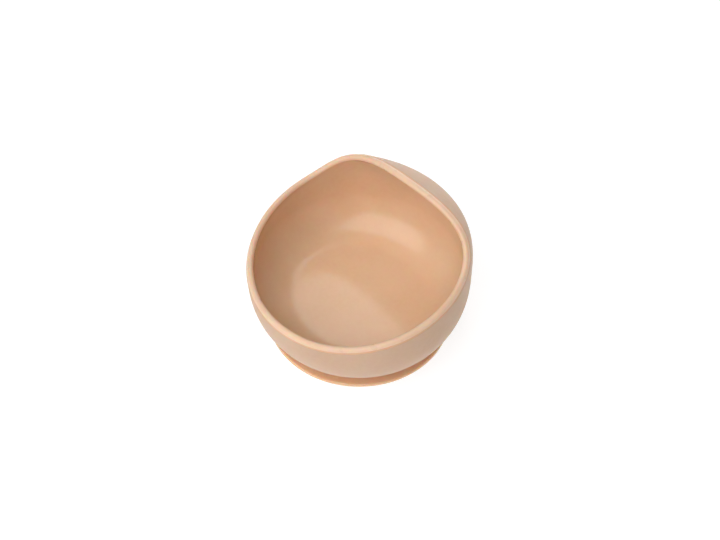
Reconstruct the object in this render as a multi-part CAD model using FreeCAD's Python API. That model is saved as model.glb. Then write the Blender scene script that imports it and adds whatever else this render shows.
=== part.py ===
import FreeCAD
import Part
import math
import os

# A small child's suction bowl, moulded in silicone: a round bowl whose back is raised and curls
# inwards over the food, standing on a separately moulded suction cup.
# Millimetres. +Z is up, the table is z = 0, the bowl's axis is Z and its raised back faces +Y.

# The bowl's outside
WIDEST_RADIUS = 60.0          # where the wall is widest
WIDEST_HEIGHT = 40.4
BOTTOM_RADIUS = 52.5          # the bottom edge of the wall
BOTTOM_HEIGHT = 10.9
LOWER_WALL_POWER = 2.6        # a higher power keeps the wall upright for longer, then turns it in
BACK_CURL_POWER = 3.8         # the same, for the raised back below its rim

# The rim, which runs round the bowl and nearly straight across the raised back
FRONT_RIM_HEIGHT = 40.9
SIDE_RISE = 21.9              # how far the rim climbs evenly from the front to the back
BACK_RISE = 15.2              # how much more it climbs on to the raised back
BACK_HALF_WIDTH = math.radians(58.0)   # half the angle that the raised back takes up
BACK_SHOULDER_POWER = 5.4     # how sudden that last climb is
BACK_RIM_DEPTH = 38.3         # from the axis to the rim in the middle of the back
BACK_RIM_BOW = 2.7            # how far the straight rim bows out towards its ends
SIDE_PINCH = 0.7              # how much narrower the rim is at the bowl's sides
CORNER_POWER = 7.7            # how tight the corners at the ends of the straight rim are

# The bowl's wall and inside
WALL = 3.4                    # also the diameter of the rounded rim
FLOOR = 3.8
FLOOR_CORNER_RADIUS = 22.0

# The suction cup
CUP_RADIUS = 50.9
CUP_LIP_THICKNESS = 2.0
CUP_LIP_ROUND = 0.9           # rounding of the lip's upper corner
CUP_SEAL_ROUND = 0.4          # rounding of the lip's lower corner
SEAL_INNER_RADIUS = 47.5      # inner edge of the flat ring that seals on the table
CUP_PAD_RADIUS = 22.0         # the thick middle that carries the bowl
CUP_PAD_STEP = 1.6            # height of the pad's upright side above the skirt
DISH_DEPTH = 3.8              # the hollow under the cup
DISH_FLAT_RADIUS = 22.0       # the level middle of that hollow
SKIRT_SAG = 1.2               # how far the skirt's top dips below a straight cone
DISH_SWELL = 0.5              # how far the hollow bulges above a straight cone
SPIGOT_RADIUS = 9.95          # stub on the pad, which centres the cup in the bowl
SPIGOT_HEIGHT = 1.4
SOCKET_RADIUS = 10.0          # blind recess under the bowl for that stub
SOCKET_DEPTH = 1.5

# How finely the bowl's surface is described
POINTS_PER_RING = 60
LOWER_WALL_STEPS = 6
BACK_STEPS = 10
RIM_STEPS = 8
CORNER_STEPS = 7
SMALL_STEP = 1e-4             # for slopes taken by difference
QUARTER_TURN = math.pi / 2.0

UP = FreeCAD.Vector(0, 0, 1)
ORIGIN = FreeCAD.Vector(0, 0, 0)
FLOOR_HEIGHT = BOTTOM_HEIGHT + FLOOR
INNER_RADIUS = WIDEST_RADIUS - WALL


def rim_radius(turn):
    """Radius of the rim's outside at an angle from the raised back: a circle cut by a soft chord."""
    towards_back = max(math.cos(turn), 0.0)
    chord = BACK_RIM_DEPTH + BACK_RIM_BOW * math.sin(turn) ** 2
    circle = WIDEST_RADIUS - SIDE_PINCH * math.sin(turn) ** 2
    circle_part = (1.0 / circle) ** CORNER_POWER
    chord_part = (towards_back / chord) ** CORNER_POWER
    return (circle_part + chord_part) ** (-1.0 / CORNER_POWER)


def rim_height(turn):
    """Height of the rim's outside at an angle from the raised back."""
    share = (1.0 + math.cos(turn)) / 2.0
    away = abs(math.remainder(turn, 2.0 * math.pi)) / BACK_HALF_WIDTH
    return FRONT_RIM_HEIGHT + SIDE_RISE * share + BACK_RISE * math.exp(-away ** BACK_SHOULDER_POWER)


def at_angle(radius, turn, height):
    """A point at a radius, an angle from the raised back and a height."""
    return FreeCAD.Vector(radius * math.sin(turn), radius * math.cos(turn), height)


def outside(turn, climb):
    """A point outside the wall. climb is 0 at the bottom edge, 1 where it is widest, 2 at the rim."""
    if climb <= 1.0:
        height = BOTTOM_HEIGHT + (WIDEST_HEIGHT - BOTTOM_HEIGHT) * climb
        radius = WIDEST_RADIUS - (WIDEST_RADIUS - BOTTOM_RADIUS) * (1.0 - climb) ** LOWER_WALL_POWER
    else:
        rise = climb - 1.0
        height = WIDEST_HEIGHT + (rim_height(turn) - WIDEST_HEIGHT) * rise
        radius = WIDEST_RADIUS - (WIDEST_RADIUS - rim_radius(turn)) * rise ** BACK_CURL_POWER
    return at_angle(radius, turn, height)


def directions(turn, climb):
    """The outward normal of the wall, and the way up the wall square to the ring through the point."""
    point = outside(turn, climb)
    along = outside(turn + SMALL_STEP, climb) - outside(turn - SMALL_STEP, climb)
    upward = point - outside(turn, climb - SMALL_STEP)
    normal = upward.cross(along).normalize()
    way_up = along.cross(normal).normalize()
    return normal, way_up


def rim_point(turn, roll):
    """A point on the rounded rim. roll is 0 at its outside and pi at its inside."""
    normal, way_up = directions(turn, 2.0)
    centre = outside(turn, 2.0) - normal * (WALL / 2.0)
    return centre + normal * (WALL / 2.0 * math.cos(roll)) + way_up * (WALL / 2.0 * math.sin(roll))


def inside(turn, climb):
    """A point inside the wall, between its widest ring and the rim."""
    normal, _ = directions(turn, climb)
    return outside(turn, climb) - normal * WALL


def floor_corner(turn, roll):
    """A point on the rounded corner inside. roll is 0 at the wall and a quarter turn at the floor."""
    radius = INNER_RADIUS - FLOOR_CORNER_RADIUS * (1.0 - math.cos(roll))
    height = FLOOR_HEIGHT + FLOOR_CORNER_RADIUS * (1.0 - math.sin(roll))
    return at_angle(radius, turn, height)


def ring(surface, position):
    """A closed smooth wire round the bowl, at one position on a surface."""
    turns = [2.0 * math.pi * step / POINTS_PER_RING for step in range(POINTS_PER_RING)]
    # every ring has the same parameters, which keeps a face through several of them light
    shares = [step / POINTS_PER_RING for step in range(POINTS_PER_RING + 1)]
    points = [surface(turn, position) for turn in turns]
    curve = Part.BSplineCurve()
    curve.interpolate(Points=points, Parameters=shares, PeriodicFlag=True)
    return Part.Wire([curve.toShape()])


def skin(surface, positions, ruled=False):
    """A smooth face through rings at several positions on a surface."""
    rings = [ring(surface, position) for position in positions]
    return Part.makeLoft(rings, False, ruled).Faces[0]


def upright_wall(turn, share):
    """A point on the upright inside wall, from its widest ring at 0 down to the floor corner at 1."""
    return inside(turn, 1.0) * (1.0 - share) + floor_corner(turn, 0.0) * share


def bowl_faces():
    """The bowl's faces: up the outside, over the rim, down the inside, its floor and its underside."""
    lower = [step / LOWER_WALL_STEPS for step in range(LOWER_WALL_STEPS + 1)]
    # steps up the back close up towards the rim, where it curls in
    back = [1.0 + math.sin(QUARTER_TURN * step / BACK_STEPS) for step in range(BACK_STEPS + 1)]
    rolls = [2.0 * QUARTER_TURN * step / RIM_STEPS for step in range(RIM_STEPS + 1)]
    corner = [QUARTER_TURN * step / CORNER_STEPS for step in range(CORNER_STEPS + 1)]
    return [
        skin(outside, lower),
        skin(outside, back),
        skin(rim_point, rolls),
        skin(inside, back),
        skin(upright_wall, [0.0, 1.0], ruled=True),
        skin(floor_corner, corner),
        Part.Face(ring(floor_corner, QUARTER_TURN)),
        Part.Face(ring(outside, 0.0)),
    ]


def make_bowl_shell():
    """The bowl: one moulding, with a blind recess for the cup's stub in the middle of its underside."""
    skin_of_bowl = Part.makeShell(bowl_faces())
    skin_of_bowl.sewShape()
    bowl = Part.makeSolid(skin_of_bowl)
    if bowl.Volume < 0:
        bowl.reverse()
    socket = Part.makeCylinder(SOCKET_RADIUS, SOCKET_DEPTH, FreeCAD.Vector(0, 0, BOTTOM_HEIGHT))
    return bowl.cut(socket).Solids[0]


def vector_xz(x, z):
    """A point of the cup's half section."""
    return FreeCAD.Vector(x, 0, z)


def make_suction_cup():
    """The cup: a thick pad with a centring stub, thinning through a skirt to a flat sealing lip."""
    pad_top = BOTTOM_HEIGHT
    skirt_start = vector_xz(CUP_PAD_RADIUS, pad_top - CUP_PAD_STEP)
    lip_start = CUP_RADIUS - CUP_LIP_ROUND
    corners = [
        vector_xz(0, DISH_DEPTH),
        vector_xz(0, pad_top + SPIGOT_HEIGHT),
        vector_xz(SPIGOT_RADIUS, pad_top + SPIGOT_HEIGHT),
        vector_xz(SPIGOT_RADIUS, pad_top),
        vector_xz(CUP_PAD_RADIUS, pad_top),
        skirt_start,
    ]
    edges = [Part.makeLine(start, end) for start, end in zip(corners, corners[1:])]
    lip_top = vector_xz(lip_start, CUP_LIP_THICKNESS)
    skirt_middle = (skirt_start + lip_top) * 0.5 - UP * SKIRT_SAG
    lip_side_top = vector_xz(CUP_RADIUS, CUP_LIP_THICKNESS - CUP_LIP_ROUND)
    lip_side_bottom = vector_xz(CUP_RADIUS, CUP_SEAL_ROUND)
    seal_outer = vector_xz(CUP_RADIUS - CUP_SEAL_ROUND, 0)
    seal_inner = vector_xz(SEAL_INNER_RADIUS, 0)
    dish_top = vector_xz(DISH_FLAT_RADIUS, DISH_DEPTH)
    dish_middle = (seal_inner + dish_top) * 0.5 + UP * DISH_SWELL
    edges.append(Part.Arc(skirt_start, skirt_middle, lip_top).toShape())
    edges.append(quarter_round(lip_top, lip_side_top))
    edges.append(Part.makeLine(lip_side_top, lip_side_bottom))
    edges.append(quarter_round(lip_side_bottom, seal_outer))
    edges.append(Part.makeLine(seal_outer, seal_inner))
    edges.append(Part.Arc(seal_inner, dish_middle, dish_top).toShape())
    edges.append(Part.makeLine(dish_top, corners[0]))
    half_section = Part.Face(Part.Wire(edges))
    return half_section.revolve(ORIGIN, UP, 360)


def quarter_round(start, end):
    """A quarter circle between two points of the lip's section, bulging away from the axis."""
    centre = vector_xz(min(start.x, end.x), start.z if start.x > end.x else end.z)
    size = abs(start.x - end.x)
    halfway = (start + end) * 0.5 - centre
    return Part.Arc(start, centre + halfway.normalize() * size, end).toShape()


PARTS = {
    "bowl_shell": make_bowl_shell,
    "suction_cup": make_suction_cup,
}

os.makedirs("parts", exist_ok=True)
for name, make in PARTS.items():
    shape = make()
    shape.exportStep("parts/" + name + ".step")
    print(name, shape.ShapeType, "solids", len(shape.Solids), "valid", shape.isValid(),
          "volume cm3", round(shape.Volume / 1000.0, 2), "box", shape.BoundBox)
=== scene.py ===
import math

import bmesh
import bpy
import numpy as np
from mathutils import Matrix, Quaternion, Vector


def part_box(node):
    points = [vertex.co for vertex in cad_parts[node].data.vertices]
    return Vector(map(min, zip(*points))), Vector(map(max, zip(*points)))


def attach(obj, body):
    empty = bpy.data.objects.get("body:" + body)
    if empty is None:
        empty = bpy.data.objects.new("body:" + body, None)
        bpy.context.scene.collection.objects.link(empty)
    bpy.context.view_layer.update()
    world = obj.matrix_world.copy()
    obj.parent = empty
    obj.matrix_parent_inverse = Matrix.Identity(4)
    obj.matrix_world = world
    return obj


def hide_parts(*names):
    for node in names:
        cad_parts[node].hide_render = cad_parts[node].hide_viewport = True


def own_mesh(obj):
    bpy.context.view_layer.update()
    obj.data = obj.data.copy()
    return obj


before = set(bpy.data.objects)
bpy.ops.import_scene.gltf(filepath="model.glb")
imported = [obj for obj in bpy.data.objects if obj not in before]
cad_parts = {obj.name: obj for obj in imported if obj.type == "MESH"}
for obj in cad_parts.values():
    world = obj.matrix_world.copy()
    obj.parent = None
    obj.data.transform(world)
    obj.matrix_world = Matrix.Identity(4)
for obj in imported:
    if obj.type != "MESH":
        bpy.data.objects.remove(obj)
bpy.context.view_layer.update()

# A child's silicone suction bowl. Metres, +Z up, the raised back of the bowl towards +Y.

BOWL_LOW, BOWL_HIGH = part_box("bowl_shell")
_, CUP_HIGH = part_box("suction_cup")

# The bowl's outside, as in the CAD part
WIDEST_RADIUS = BOWL_HIGH.x
WIDEST_HEIGHT = 0.0404
BOTTOM_RADIUS = 0.0525
BOTTOM_HEIGHT = BOWL_LOW.z
LOWER_WALL_POWER = 2.6
BACK_CURL_POWER = 3.8
FRONT_RIM_HEIGHT = 0.0409
SIDE_RISE = 0.0219
BACK_RISE = 0.0152
BACK_HALF_WIDTH = math.radians(58.0)
BACK_SHOULDER_POWER = 5.4
BACK_RIM_DEPTH = 0.0383
BACK_RIM_BOW = 0.0027
SIDE_PINCH = 0.0007
CORNER_POWER = 7.7

# The bowl's wall and inside
WALL = 0.0034
FLOOR = 0.0038
FLOOR_CORNER_RADIUS = 0.022
BOTTOM_EDGE_ROUND = 0.0009
BOTTOM_EDGE_LEAN = 0.83       # height gained for each length of wall at the bottom edge
POLISHED_BAND = 0.0012        # smooth band below the rim, down to the mould's parting line
PARTING_GROOVE = 0.00016      # depth of the fine groove along that line
PARTING_STEP = 0.00012        # the blasted wall below it stands this much prouder
PARTING_RIDGE = 0.00016       # and has a faint ridge just below it
RIDGE_DROP = 0.0012           # from the parting line down to the ridge
FINE_WIDTH = 0.00025          # half the width of each fine line
FOOT_BAND = 0.0016            # a fine line runs round this far above the bottom edge
FOOT_BAND_DEPTH = 0.00010
SOCKET_RADIUS = 0.010
SOCKET_DEPTH = 0.0015
SOCKET_EDGE = 0.0002          # from a corner of the socket to the points on each side of it

# The suction cup
CUP_RADIUS = CUP_HIGH.x
CUP_TOP = CUP_HIGH.z
PAD_RADIUS = 0.022
PAD_STEP = 0.0016
SPIGOT_RADIUS = 0.00995
SPIGOT_HEIGHT = 0.0014
LIP_THICKNESS = 0.0020
LIP_ROUND = 0.0009
SEAL_ROUND = 0.0004
SEAL_INNER_RADIUS = 0.0475
DISH_DEPTH = 0.0038
DISH_FLAT_RADIUS = 0.022
SKIRT_SAG = 0.0012
DISH_SWELL = 0.0005
CUP_EDGE = 0.0003             # from a corner of the cup's section to the point beside it

# How finely the surfaces are made
TURNS = 256
FINE_STEPS = 600
CORNER_STEPS = 80
UNDERSIDE_ROWS = 12
BOTTOM_EDGE_ROWS = 6
MIDDLE_ROWS = 56
PARTING_ROWS = 4
BAND_ROWS = 4
RIM_ROWS = 15
INSIDE_ROWS = 72
FLOOR_ROWS = 19
PAD_ROWS = 5
SKIRT_ROWS = 28
LIP_ROWS = 8
SEAL_ROWS = 6
DISH_ROWS = 24
DISH_FLAT_ROWS = 8
LINE_OFFSETS = (-0.0017, -0.0014, -0.0012, -0.0010, -0.0007, -0.0004, -0.00015, 0.0, 0.00015, 0.0003)
FOOT_OFFSETS = (-0.0003, 0.0, 0.0003)
HUB_CLEARANCE = 0.001         # from the socket or the stub out to the next ring
EDGE_CLEARANCE = 0.0004       # from the rounded bottom edge in to the next ring
HUB_SHARE = 0.6               # the first ring inside the socket or stub, as a share of its radius
FLOOR_SHARES = (0.95, 0.05)   # the outer and inner rings of the floor, as shares of its radius
DISH_SHARES = (0.98, 0.1)     # the same for the level middle of the hollow

# The camera
VIEW_AZIMUTH = math.radians(45.2)
VIEW_ELEVATION = math.radians(52.0)
VIEW_DISTANCE = 0.720
AIM_HEIGHT = 0.0365
AIM_ASIDE = 0.00045
LENS = 64.4
SENSOR = 36.0

# The lights. A place is a distance to the right of the bowl, one away from the camera and one up.
KEY_PLACE = (-0.46, -0.60, 0.98)
KEY_SIZE = (1.7, 1.35)
KEY_RADIANCE = 2.42
OVERHEAD_TURN = math.radians(53.0)
OVERHEAD_EDGE = 0.695         # the far edge, which shows in the bowl's floor
OVERHEAD_ALONG = 0.45         # the middle of the box, along that edge
OVERHEAD_HEIGHT = 1.0
OVERHEAD_SIZE = (0.46, 0.76)
OVERHEAD_RADIANCE = 2.3
BACK_PLACE = (0.55, 0.98, 0.26)
BACK_SIZE = (1.2, 0.4)
BACK_RADIANCE = 4.6
ROOM_RADIANCE = 0.08
LIGHTS_AIM = 0.03             # the height that the key and the back light point at

# The floor, and the round wall of the room
FLOOR_HALF = 3.0
FLOOR_GLOW = 0.77
FLOOR_SHADE = 0.38            # the share of light that the floor sends back
FLOOR_CLOUD_SCALE = 6.0
FLOOR_COOLER = (0.98, 0.99, 1.0)  # the tint of its clouds
MATTE_ROUGHNESS = 0.9
WHITE = (1.0, 1.0, 1.0, 1.0)
BLACK = (0.0, 0.0, 0.0, 1.0)
ROOM_RADIUS = 2.9
ROOM_HEIGHT = 2.5
ROOM_SIDES = 96
ROOM_GLOW = 0.84

# Silicone. The scales of its noises are in cells per metre.
CLOUD_SCALE = 38.0
MOTTLE_SCALE = 420.0
MOTTLE_STRENGTH = 0.25
CLOUD_RANGE = (0.35, 0.65)    # the part of the noise that is used
NOISE_RANGE = (0.3, 0.7)      # the same, for the mottle and the roughness
UNEVEN_SCALE = 150.0
UNEVENNESS = 0.12             # how much the roughness varies
RIPPLE_SCALE = 26.0
SPECK_SCALE = 95.0
SPECK_EDGE = (0.025, 0.04)    # where a speck starts to fade and where it ends, in cells
SPECK_CHOICE = (0.80, 0.82)   # cells below the first random value have none, above the second a full one
SPECK_STRENGTH = 0.35
SILICONE_IOR = 1.41
SCATTER_WEIGHT = 0.8
SCATTER_RADIUS = (1.0, 0.4, 0.15)
SCATTER_SCALE = 0.003
SHEEN_ROUGHNESS = 0.6
SHEEN_TINT = (1.0, 0.93, 0.88, 1.0)


# ---------------------------------------------------------------- the bowl's surface

def rim_radius(turn):
    """Radius of the rim's outside at angles from the raised back: a circle cut by a soft chord."""
    towards_back = np.maximum(np.cos(turn), 0.0)
    chord = BACK_RIM_DEPTH + BACK_RIM_BOW * np.sin(turn) ** 2
    circle = WIDEST_RADIUS - SIDE_PINCH * np.sin(turn) ** 2
    circle_part = (1.0 / circle) ** CORNER_POWER
    chord_part = (towards_back / chord) ** CORNER_POWER
    return (circle_part + chord_part) ** (-1.0 / CORNER_POWER)


def rim_height(turn):
    """Height of the rim's outside at angles from the raised back."""
    share = (1.0 + np.cos(turn)) / 2.0
    away = np.abs((turn + math.pi) % (2.0 * math.pi) - math.pi) / BACK_HALF_WIDTH
    return FRONT_RIM_HEIGHT + SIDE_RISE * share + BACK_RISE * np.exp(-away ** BACK_SHOULDER_POWER)


def at_angle(radius, turn, height):
    """Points at radii, angles from the raised back and heights."""
    return np.stack([radius * np.sin(turn), radius * np.cos(turn), height + 0.0 * turn], -1)


def outside(turn, climb):
    """Points outside the wall. climb is 0 at the bottom edge, 1 where it is widest, 2 at the rim."""
    low = np.minimum(climb, 1.0)
    rise = np.maximum(climb - 1.0, 0.0)
    low_height = BOTTOM_HEIGHT + (WIDEST_HEIGHT - BOTTOM_HEIGHT) * low
    low_radius = WIDEST_RADIUS - (WIDEST_RADIUS - BOTTOM_RADIUS) * (1.0 - low) ** LOWER_WALL_POWER
    height = low_height + (rim_height(turn) - WIDEST_HEIGHT) * rise
    radius = low_radius - (WIDEST_RADIUS - rim_radius(turn)) * rise ** BACK_CURL_POWER
    return at_angle(radius, turn, height)


def unit(vectors):
    """The same vectors at length one."""
    return vectors / np.linalg.norm(vectors, axis=-1, keepdims=True)


def dense_outside():
    """The outer wall as fine rows of rings from the bottom edge to the rim, with its normals."""
    turn = np.linspace(0.0, 2.0 * math.pi, TURNS, endpoint=False)
    # the rows close up towards the rim, where the raised back curls in
    lower = np.linspace(0.0, 1.0, FINE_STEPS // 2, endpoint=False)
    upper = 1.0 + np.sin(np.linspace(0.0, math.pi / 2.0, FINE_STEPS // 2))
    climbs = np.concatenate([lower, upper])
    points = np.array([outside(turn, climb) for climb in climbs])
    along = np.roll(points, -1, axis=1) - np.roll(points, 1, axis=1)
    upward = np.gradient(points, axis=0)
    return turn, points, unit(np.cross(upward, along))


def resample(column, values, shares):
    """Vectors given at the points of a polyline, taken at shares of its length."""
    lengths = np.linalg.norm(np.diff(column, axis=0), axis=1)
    travelled = np.concatenate([[0.0], np.cumsum(lengths)])
    wanted = np.asarray(shares) * travelled[-1]
    return np.stack([np.interp(wanted, travelled, values[:, axis]) for axis in range(3)], -1)


def length_of(column):
    """Length of a polyline."""
    return np.linalg.norm(np.diff(column, axis=0), axis=1).sum()


def smooth_step(value):
    """0 below 0, 1 above 1, and a smooth rise between."""
    held = np.clip(value, 0.0, 1.0)
    return held * held * (3.0 - 2.0 * held)


def wall_stations(length):
    """Distances up the wall from its bottom edge to the rim, close together at its fine lines."""
    parting = length - POLISHED_BAND
    foot = [BOTTOM_EDGE_ROUND] + [FOOT_BAND + offset for offset in FOOT_OFFSETS]
    line = [parting + offset for offset in LINE_OFFSETS]
    middle = np.linspace(foot[-1], line[0], MIDDLE_ROWS + 2)[1:-1]
    band = np.linspace(line[-1], length, BAND_ROWS + 1)[1:]
    return np.concatenate([foot, middle, line, band])


def fine_line(along, place):
    """1 at a place along the wall, falling to 0 within a fine line's width."""
    return np.exp(-((along - place) / FINE_WIDTH) ** 2)


def outer_columns(turn, points, normals):
    """The outer wall between its rounded bottom edge and the rim, with its fine lines."""
    columns = []
    for index in range(len(turn)):
        column = points[:, index]
        length = length_of(column)
        along = wall_stations(length)
        place = resample(column, column, along / length)
        normal = unit(resample(column, normals[:, index], along / length))
        parting = length - POLISHED_BAND
        step = PARTING_STEP * (1.0 - smooth_step((along - parting) / FINE_WIDTH + 0.5))
        groove = PARTING_GROOVE * fine_line(along, parting)
        ridge = PARTING_RIDGE * fine_line(along, parting - RIDGE_DROP)
        foot_line = FOOT_BAND_DEPTH * fine_line(along, FOOT_BAND)
        columns.append(place + normal * (step - groove + ridge - foot_line)[:, None])
    return np.array(columns).transpose(1, 0, 2)


def bottom_edge_rows(turn):
    """The rounded bottom edge of the wall, from the flat underside outwards."""
    flat = at_angle(np.full_like(turn, BOTTOM_RADIUS - BOTTOM_EDGE_ROUND), turn, BOTTOM_HEIGHT)
    corner = at_angle(np.full_like(turn, BOTTOM_RADIUS + PARTING_STEP), turn, BOTTOM_HEIGHT)
    climb = BOTTOM_EDGE_ROUND / (WIDEST_HEIGHT - BOTTOM_HEIGHT) * BOTTOM_EDGE_LEAN
    side = outside(turn, climb)
    side[:, :2] *= 1.0 + PARTING_STEP / BOTTOM_RADIUS
    shares = np.linspace(0.0, 1.0, BOTTOM_EDGE_ROWS + 1)[:-1]
    return [flat * (1 - s) ** 2 + corner * 2 * s * (1 - s) + side * s * s for s in shares]


def rim_rows(points, normals):
    """The rounded rim, from just above its outside to just above its inside."""
    along = np.roll(points[-1], -1, axis=0) - np.roll(points[-1], 1, axis=0)
    normal = normals[-1]
    way_up = unit(np.cross(along, normal))
    centre = points[-1] - normal * WALL / 2.0
    rolls = np.linspace(0.0, math.pi, RIM_ROWS + 2)[1:-1]
    half = WALL / 2.0
    return [centre + normal * half * math.cos(r) + way_up * half * math.sin(r) for r in rolls]


def inner_columns(turn, points, normals):
    """The inside from the rim down the wall and round the corner to the flat floor."""
    inner_radius = WIDEST_RADIUS - WALL
    floor_height = BOTTOM_HEIGHT + FLOOR
    above = points[FINE_STEPS // 2:][::-1] - normals[FINE_STEPS // 2:][::-1] * WALL
    rolls = np.linspace(0.0, math.pi / 2.0, CORNER_STEPS)
    columns = []
    for index, angle in enumerate(turn):
        radius = inner_radius - FLOOR_CORNER_RADIUS * (1.0 - np.cos(rolls))
        height = floor_height + FLOOR_CORNER_RADIUS * (1.0 - np.sin(rolls))
        corner = np.stack([radius * math.sin(angle), radius * math.cos(angle), height], -1)
        column = np.concatenate([above[:, index], corner])
        columns.append(resample(column, column, np.linspace(0.0, 1.0, INSIDE_ROWS)))
    return np.array(columns).transpose(1, 0, 2)


def ring_rows(turn, sizes):
    """Level rings, one for each (radius, height)."""
    return [at_angle(np.full_like(turn, radius), turn, height) for radius, height in sizes]


def mesh_from_rows(name, rows, first_tip, last_tip, materials, row_material):
    """A closed mesh of rings joined by quads, with a fan to a point at each end."""
    count = rows[0].shape[0]
    vertices = [tuple(first_tip)] + [tuple(p) for row in rows for p in row] + [tuple(last_tip)]
    last = len(vertices) - 1
    faces = []
    slots = []
    for side in range(count):
        following = (side + 1) % count
        faces.append((0, 1 + side, 1 + following))
        slots.append(row_material(0))
        for row in range(len(rows) - 1):
            low = 1 + row * count
            high = low + count
            faces.append((low + side, high + side, high + following, low + following))
            slots.append(row_material(row + 1))
        top = 1 + (len(rows) - 1) * count
        faces.append((last, top + following, top + side))
        slots.append(row_material(len(rows)))
    mesh = bpy.data.meshes.new(name)
    mesh.from_pydata(vertices, [], faces)
    mesh.update()
    piece = bpy.data.objects.new(name, mesh)
    bpy.context.scene.collection.objects.link(piece)
    for material in materials:
        mesh.materials.append(material)
    mesh.polygons.foreach_set("material_index", slots)
    mesh.polygons.foreach_set("use_smooth", [True] * len(faces))
    make_normals_point_out(mesh)
    return piece


def make_normals_point_out(mesh):
    """Turns every face of a closed mesh to face outwards."""
    work = bmesh.new()
    work.from_mesh(mesh)
    bmesh.ops.recalc_face_normals(work, faces=work.faces)
    work.to_mesh(mesh)
    work.free()


def underside_section():
    """The socket and the flat underside of the bowl, as (radius, height) from the middle outwards."""
    socket_top = BOTTOM_HEIGHT + SOCKET_DEPTH
    section = [
        (SOCKET_RADIUS * HUB_SHARE, socket_top),
        (SOCKET_RADIUS - SOCKET_EDGE, socket_top),
        (SOCKET_RADIUS, socket_top - SOCKET_EDGE),
        (SOCKET_RADIUS, BOTTOM_HEIGHT + SOCKET_EDGE),
        (SOCKET_RADIUS + SOCKET_EDGE, BOTTOM_HEIGHT),
    ]
    outermost = BOTTOM_RADIUS - BOTTOM_EDGE_ROUND - EDGE_CLEARANCE
    radii = np.linspace(SOCKET_RADIUS + HUB_CLEARANCE, outermost, UNDERSIDE_ROWS)
    return section + [(radius, BOTTOM_HEIGHT) for radius in radii]


def make_bowl(materials):
    """The bowl, from the middle of its underside round the wall and rim to the middle of its floor."""
    turn, points, normals = dense_outside()
    socket_top = BOTTOM_HEIGHT + SOCKET_DEPTH
    underside = ring_rows(turn, underside_section())
    wall = list(outer_columns(turn, points, normals))
    rim = rim_rows(points, normals)
    inside = list(inner_columns(turn, points, normals))
    floor_height = BOTTOM_HEIGHT + FLOOR
    flat_radius = WIDEST_RADIUS - WALL - FLOOR_CORNER_RADIUS
    shares = np.linspace(*FLOOR_SHARES, FLOOR_ROWS)
    floor = ring_rows(turn, [(flat_radius * share, floor_height) for share in shares])
    rows = underside + bottom_edge_rows(turn) + wall + rim + inside + floor
    wall_end = len(underside) + BOTTOM_EDGE_ROWS + len(wall)
    parting_end = wall_end - BAND_ROWS - 1
    last_rows = (parting_end - PARTING_ROWS, parting_end, wall_end + len(rim))

    def row_material(row):
        """0 the blasted wall, 1 the parting line, deeper in colour as painted shade, 2 the rim, paler in
        colour as painted light, 3 the inside.
        """
        return sum(row >= last for last in last_rows)

    tips = Vector((0, 0, socket_top)), Vector((0, 0, floor_height))
    return mesh_from_rows("bowl", rows, *tips, materials, row_material)


# ---------------------------------------------------------------- the suction cup

def arc_through(start, middle, end, count):
    """Points on the circle through three points of a section, without its two ends."""
    start, middle, end = (np.array(p, float) for p in (start, middle, end))
    a, b = middle - start, end - start
    cross = 2.0 * (a[0] * b[1] - a[1] * b[0])
    centre = start + np.array([b[1] * a @ a - a[1] * b @ b, a[0] * b @ b - b[0] * a @ a]) / cross
    angles = [math.atan2(*(p - centre)[::-1]) for p in (start, middle, end)]
    sweep = (angles[2] - angles[0] + math.pi) % (2.0 * math.pi) - math.pi
    radius = np.linalg.norm(start - centre)
    turns = angles[0] + sweep * np.linspace(0.0, 1.0, count + 2)[1:-1]
    return [tuple(centre + radius * np.array([math.cos(t), math.sin(t)])) for t in turns]


def quarter_round(start, end, count):
    """Points on a quarter circle of the lip's section, with its two ends."""
    centre = (min(start[0], end[0]), start[1] if start[0] > end[0] else end[1])
    size = abs(start[0] - end[0])
    first = math.atan2(start[1] - centre[1], start[0] - centre[0])
    last = math.atan2(end[1] - centre[1], end[0] - centre[0])
    return [(centre[0] + size * math.cos(t), centre[1] + size * math.sin(t))
            for t in np.linspace(first, last, count)]


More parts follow.
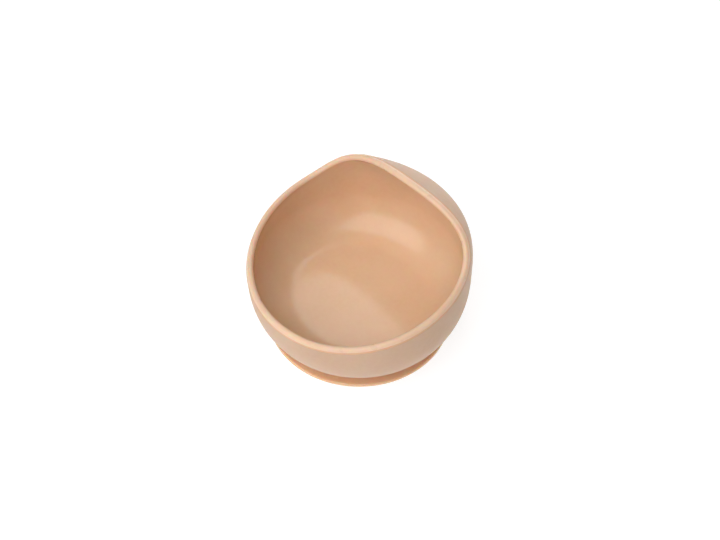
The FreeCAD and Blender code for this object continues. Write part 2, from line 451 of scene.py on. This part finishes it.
def cup_section():
    """The cup's half section from the stub's top, over pad, skirt and lip, to the hollow underneath."""
    pad_top = CUP_TOP - SPIGOT_HEIGHT
    skirt_start = (PAD_RADIUS, pad_top - PAD_STEP)
    lip_top = (CUP_RADIUS - LIP_ROUND, LIP_THICKNESS)
    dish_top = (DISH_FLAT_RADIUS, DISH_DEPTH)
    section = [
        (SPIGOT_RADIUS * HUB_SHARE, CUP_TOP),
        (SPIGOT_RADIUS - CUP_EDGE, CUP_TOP),
        (SPIGOT_RADIUS, CUP_TOP - CUP_EDGE),
        (SPIGOT_RADIUS, pad_top + CUP_EDGE),
        (SPIGOT_RADIUS + CUP_EDGE, pad_top),
    ]
    pad_radii = np.linspace(SPIGOT_RADIUS + HUB_CLEARANCE, PAD_RADIUS - CUP_EDGE, PAD_ROWS)
    section += [(radius, pad_top) for radius in pad_radii]
    section += [(PAD_RADIUS, pad_top - CUP_EDGE), (PAD_RADIUS, skirt_start[1] + CUP_EDGE)]
    middle = ((skirt_start[0] + lip_top[0]) / 2.0, (skirt_start[1] + lip_top[1]) / 2.0 - SKIRT_SAG)
    section += arc_through(skirt_start, middle, lip_top, SKIRT_ROWS)
    section += quarter_round(lip_top, (CUP_RADIUS, LIP_THICKNESS - LIP_ROUND), LIP_ROWS)
    section += quarter_round((CUP_RADIUS, SEAL_ROUND), (CUP_RADIUS - SEAL_ROUND, 0.0), SEAL_ROWS)
    section += [((CUP_RADIUS + SEAL_INNER_RADIUS) / 2.0, 0.0), (SEAL_INNER_RADIUS + CUP_EDGE, 0.0)]
    middle = ((SEAL_INNER_RADIUS + dish_top[0]) / 2.0, dish_top[1] / 2.0 + DISH_SWELL)
    section += arc_through((SEAL_INNER_RADIUS, 0.0), middle, dish_top, DISH_ROWS)
    shares = np.linspace(*DISH_SHARES, DISH_FLAT_ROWS)
    return section + [(DISH_FLAT_RADIUS * share, DISH_DEPTH) for share in shares]


def make_cup(material):
    """The suction cup, turned from its half section."""
    turn = np.linspace(0.0, 2.0 * math.pi, TURNS, endpoint=False)
    rows = ring_rows(turn, cup_section())
    tips = Vector((0, 0, CUP_TOP)), Vector((0, 0, DISH_DEPTH))
    return mesh_from_rows("cup", rows, *tips, [material], lambda row: 0)


# ---------------------------------------------------------------- materials

def srgb(red, green, blue):
    """A linear colour from display values out of 255."""
    def linear(value):
        share = value / 255.0
        return share / 12.92 if share <= 0.04045 else ((share + 0.055) / 1.055) ** 2.4
    return linear(red), linear(green), linear(blue), 1.0


class Nodes:
    """Short ways to add and join a material's nodes."""

    def __init__(self, name):
        self.material = bpy.data.materials.new(name)
        self.material.use_nodes = True
        self.tree = self.material.node_tree
        self.shader = next(n for n in self.tree.nodes if n.type == "BSDF_PRINCIPLED")

    def add(self, kind, **settings):
        """A node with its input values set by name, and its own properties by lower-case name."""
        node = self.tree.nodes.new(kind)
        for name, value in settings.items():
            if name in node.bl_rna.properties:
                setattr(node, name, value)
            else:
                node.inputs[name.replace("_", " ")].default_value = value
        return node

    def join(self, source, target):
        """A link between two sockets."""
        self.tree.links.new(source, target)

    def noise(self, scale, detail=2.0, roughness=0.5):
        """Noise in the object's own space."""
        coordinates = self.add("ShaderNodeTexCoord")
        node = self.add("ShaderNodeTexNoise", Scale=scale, Detail=detail, Roughness=roughness)
        self.join(coordinates.outputs["Object"], node.inputs["Vector"])
        return node.outputs["Fac"]

    def ranged(self, source, low_in, high_in, low_out, high_out):
        """A value moved from one range to another."""
        node = self.add("ShaderNodeMapRange")
        for socket, value in zip(node.inputs[1:5], (low_in, high_in, low_out, high_out)):
            socket.default_value = value
        self.join(source, node.inputs[0])
        return node.outputs[0]

    def blend(self, factor, first, second):
        """A mix of two colours. Each is a colour or a socket."""
        node = self.add("ShaderNodeMix", data_type="RGBA")
        self.join(factor, node.inputs["Factor"])
        for index, colour in ((6, first), (7, second)):
            if isinstance(colour, tuple):
                node.inputs[index].default_value = colour
            else:
                self.join(colour, node.inputs[index])
        return node.outputs[2]

    def bump(self, height, distance, strength, under=None):
        """A bump from a height, on top of another one."""
        node = self.add("ShaderNodeBump", Distance=distance, Strength=strength)
        self.join(height, node.inputs["Height"])
        if under is not None:
            self.join(under, node.inputs["Normal"])
        return node.outputs["Normal"]


def add_specks(nodes, colour):
    """A few small dark specks on top of a colour."""
    coordinates = nodes.add("ShaderNodeTexCoord")
    cells = nodes.add("ShaderNodeTexVoronoi", Scale=SPECK_SCALE)
    nodes.join(coordinates.outputs["Object"], cells.inputs["Vector"])
    near = nodes.ranged(cells.outputs["Distance"], *SPECK_EDGE, 1.0, 0.0)
    chosen = nodes.ranged(cells.outputs["Color"], *SPECK_CHOICE, 0.0, 1.0)
    both = nodes.add("ShaderNodeMath", operation="MULTIPLY")
    nodes.join(near, both.inputs[0])
    nodes.join(chosen, both.inputs[1])
    faded = nodes.ranged(both.outputs[0], 0.0, 1.0, 0.0, SPECK_STRENGTH)
    return nodes.blend(faded, colour, srgb(120, 78, 50))


def silicone(name, base, deeper, paler, roughness, grain_scale, grain_depth,
             ripple_depth=0.0, sheen=0.0, specks=False):
    """Moulded silicone: faint clouds of colour, a fine grain, and slow ripples or specks where asked for."""
    nodes = Nodes(name)
    shader = nodes.shader
    clouds = nodes.ranged(nodes.noise(CLOUD_SCALE, 3.0), *CLOUD_RANGE, 0.0, 1.0)
    mottle = nodes.ranged(nodes.noise(MOTTLE_SCALE), *NOISE_RANGE, 0.0, MOTTLE_STRENGTH)
    colour = nodes.blend(clouds, deeper, base)
    colour = nodes.blend(mottle, colour, paler)
    if specks:
        colour = add_specks(nodes, colour)
    nodes.join(colour, shader.inputs["Base Color"])
    uneven = nodes.noise(UNEVEN_SCALE, 3.0)
    smoothest = roughness * (1.0 - UNEVENNESS)
    roughest = roughness * (1.0 + UNEVENNESS)
    nodes.join(nodes.ranged(uneven, *NOISE_RANGE, smoothest, roughest), shader.inputs["Roughness"])
    shader.inputs["IOR"].default_value = SILICONE_IOR
    shader.inputs["Subsurface Weight"].default_value = SCATTER_WEIGHT
    shader.inputs["Subsurface Radius"].default_value = SCATTER_RADIUS
    shader.inputs["Subsurface Scale"].default_value = SCATTER_SCALE
    shader.inputs["Sheen Weight"].default_value = sheen
    shader.inputs["Sheen Roughness"].default_value = SHEEN_ROUGHNESS
    shader.inputs["Sheen Tint"].default_value = SHEEN_TINT
    ripple = nodes.bump(nodes.noise(RIPPLE_SCALE, 1.0), ripple_depth, 1.0)
    grain = nodes.bump(nodes.noise(grain_scale, 2.0, 0.6), grain_depth, 1.0, ripple)
    nodes.join(grain, shader.inputs["Normal"])
    return nodes.material


def make_materials():
    """The bowl's blasted outside, parting line with painted shade, rim paler with painted light, and
    polished inside, and the polished cup.
    """
    blasted = silicone(
        "silicone_blasted", base=srgb(206, 172, 145), deeper=srgb(202, 166, 138), paler=srgb(213, 182, 157),
        roughness=0.55, grain_scale=3200.0, grain_depth=0.00005, sheen=0.04)
    # the parting line: a little smoother, and a deeper orange that is painted shade of its fine groove
    parting = silicone(
        "silicone_parting_painted_shade", base=srgb(223, 180, 146), deeper=srgb(219, 174, 139), paler=srgb(228, 187, 153),
        roughness=0.5, grain_scale=3200.0, grain_depth=0.00002)
    # the rim: smoother and glossier, and paler than the inside as painted light on the rounded rim
    rim = silicone(
        "silicone_rim_painted_light", base=srgb(233, 202, 174), deeper=srgb(229, 197, 167), paler=srgb(238, 209, 183),
        roughness=0.3, grain_scale=900.0, grain_depth=0.000004, ripple_depth=0.00002)
    polished = silicone(
        "silicone_polished", base=srgb(228, 194, 161), deeper=srgb(224, 188, 153), paler=srgb(232, 200, 169),
        roughness=0.15, grain_scale=900.0, grain_depth=0.000002, ripple_depth=0.00003, specks=True)
    cup = silicone(
        "silicone_cup", base=srgb(230, 197, 160), deeper=srgb(225, 190, 152), paler=srgb(235, 204, 169),
        roughness=0.25, grain_scale=900.0, grain_depth=0.000004, ripple_depth=0.00003)
    return [blasted, parting, rim, polished], cup


# ---------------------------------------------------------------- the set

def direction(azimuth, elevation):
    """A unit vector from the bowl towards an azimuth and elevation, 0 being the side facing -Y."""
    return Vector((math.sin(azimuth) * math.cos(elevation),
                   -math.cos(azimuth) * math.cos(elevation), math.sin(elevation)))


def make_camera():
    """The camera, aimed at the bowl from above its low front."""
    data = bpy.data.cameras.new("camera")
    data.lens = LENS
    data.sensor_width = SENSOR
    data.clip_start = 0.01
    camera = bpy.data.objects.new("camera", data)
    right = Vector((math.cos(VIEW_AZIMUTH), math.sin(VIEW_AZIMUTH), 0.0))
    aim = Vector((0.0, 0.0, AIM_HEIGHT)) + right * AIM_ASIDE
    camera.location = direction(VIEW_AZIMUTH, VIEW_ELEVATION) * VIEW_DISTANCE + right * AIM_ASIDE
    camera.rotation_euler = (aim - camera.location).to_track_quat("-Z", "Y").to_euler()
    bpy.context.scene.collection.objects.link(camera)
    bpy.context.scene.camera = camera


def from_camera(aside, away, up):
    """A point given by its distance to the right of the bowl, away from the camera and up."""
    right = Vector((math.cos(VIEW_AZIMUTH), math.sin(VIEW_AZIMUTH), 0.0))
    back = Vector((-math.sin(VIEW_AZIMUTH), math.cos(VIEW_AZIMUTH), 0.0))
    return right * aside + back * away + Vector((0.0, 0.0, up))


def soft_box(name, place, aim, turned, width, height, radiance):
    """A rectangular area light at a place, aimed at a point and turned about its own beam."""
    data = bpy.data.lights.new(name, "AREA")
    data.shape = "RECTANGLE"
    data.size = width
    data.size_y = height
    data.energy = radiance * math.pi * width * height
    lamp = bpy.data.objects.new(name, data)
    lamp.location = place
    facing = (aim - place).to_track_quat("-Z", "Y")
    lamp.rotation_euler = (facing @ Quaternion((0.0, 0.0, 1.0), turned)).to_euler()
    bpy.context.scene.collection.objects.link(lamp)


def glowing_white(name):
    """A matte material that can glow in an even white."""
    nodes = Nodes(name)
    nodes.shader.inputs["Roughness"].default_value = MATTE_ROUGHNESS
    nodes.shader.inputs["Specular IOR Level"].default_value = 0.0
    nodes.shader.inputs["Emission Color"].default_value = WHITE
    return nodes


def add_to_stage(name, vertices, faces, material):
    """A mesh that belongs to the set and not to the bowl."""
    mesh = bpy.data.meshes.new(name)
    mesh.from_pydata(vertices, [], faces)
    mesh.materials.append(material)
    piece = bpy.data.objects.new(name, mesh)
    bpy.context.scene.collection.objects.link(piece)
    return piece


def make_floor():
    """A wide white sheet, a little self-lit so that it stays pale round the bowl."""
    nodes = glowing_white("white_sheet")
    pale = (FLOOR_SHADE, FLOOR_SHADE, FLOOR_SHADE, 1.0)
    cooler = (*(FLOOR_SHADE * share for share in FLOOR_COOLER), 1.0)
    tint = nodes.blend(nodes.noise(FLOOR_CLOUD_SCALE), pale, cooler)
    nodes.join(tint, nodes.shader.inputs["Base Color"])
    nodes.shader.inputs["Emission Strength"].default_value = FLOOR_GLOW
    half = FLOOR_HALF
    corners = [(-half, -half, 0), (half, -half, 0), (half, half, 0), (-half, half, 0)]
    add_to_stage("floor", corners, [(0, 1, 2, 3)], nodes.material)


def make_wall():
    """A pale wall round the set, which only the camera sees, so that it doesn't light the bowl."""
    nodes = glowing_white("white_wall")
    nodes.shader.inputs["Base Color"].default_value = BLACK
    nodes.shader.inputs["Emission Strength"].default_value = ROOM_GLOW
    turns = np.linspace(0.0, 2.0 * math.pi, ROOM_SIDES, endpoint=False)
    ring = [(ROOM_RADIUS * math.cos(turn), ROOM_RADIUS * math.sin(turn)) for turn in turns]
    vertices = [(x, y, height) for height in (0.0, ROOM_HEIGHT) for x, y in ring]
    faces = []
    for side in range(ROOM_SIDES):
        following = (side + 1) % ROOM_SIDES
        faces.append((side, following, ROOM_SIDES + following, ROOM_SIDES + side))
    wall = add_to_stage("wall", vertices, faces, nodes.material)
    wall.visible_diffuse = False
    wall.visible_glossy = False
    wall.visible_shadow = False


def make_world():
    """A dim, even white room."""
    world = bpy.data.worlds.new("white_room")
    world.use_nodes = True
    background = world.node_tree.nodes["Background"]
    background.inputs["Color"].default_value = WHITE
    background.inputs["Strength"].default_value = ROOM_RADIANCE
    bpy.context.scene.world = world


def make_lights():
    """A key box at the front left, one overhead whose edge shows in the bowl's floor, one low behind."""
    aim = from_camera(0.0, 0.0, LIGHTS_AIM)
    soft_box("key", from_camera(*KEY_PLACE), aim, 0.0, *KEY_SIZE, KEY_RADIANCE)
    out = Vector((math.cos(OVERHEAD_TURN), math.sin(OVERHEAD_TURN)))
    along = Vector((-out.y, out.x))
    middle = out * (OVERHEAD_EDGE - OVERHEAD_SIZE[0] / 2.0) + along * OVERHEAD_ALONG
    above = from_camera(middle.x, middle.y, OVERHEAD_HEIGHT)
    below = from_camera(middle.x, middle.y, 0.0)
    soft_box("overhead", above, below, VIEW_AZIMUTH + OVERHEAD_TURN, *OVERHEAD_SIZE, OVERHEAD_RADIANCE)
    soft_box("back", from_camera(*BACK_PLACE), aim, 0.0, *BACK_SIZE, BACK_RADIANCE)


bpy.context.scene.view_settings.view_transform = "Standard"
make_camera()
make_world()
make_lights()
make_floor()
make_wall()

bowl_finishes, cup_finish = make_materials()
bowl = make_bowl(bowl_finishes)
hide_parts("bowl_shell")
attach(bowl, "bowl")

cup = make_cup(cup_finish)
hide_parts("suction_cup")
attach(cup, "suction_foot")
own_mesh(cup)
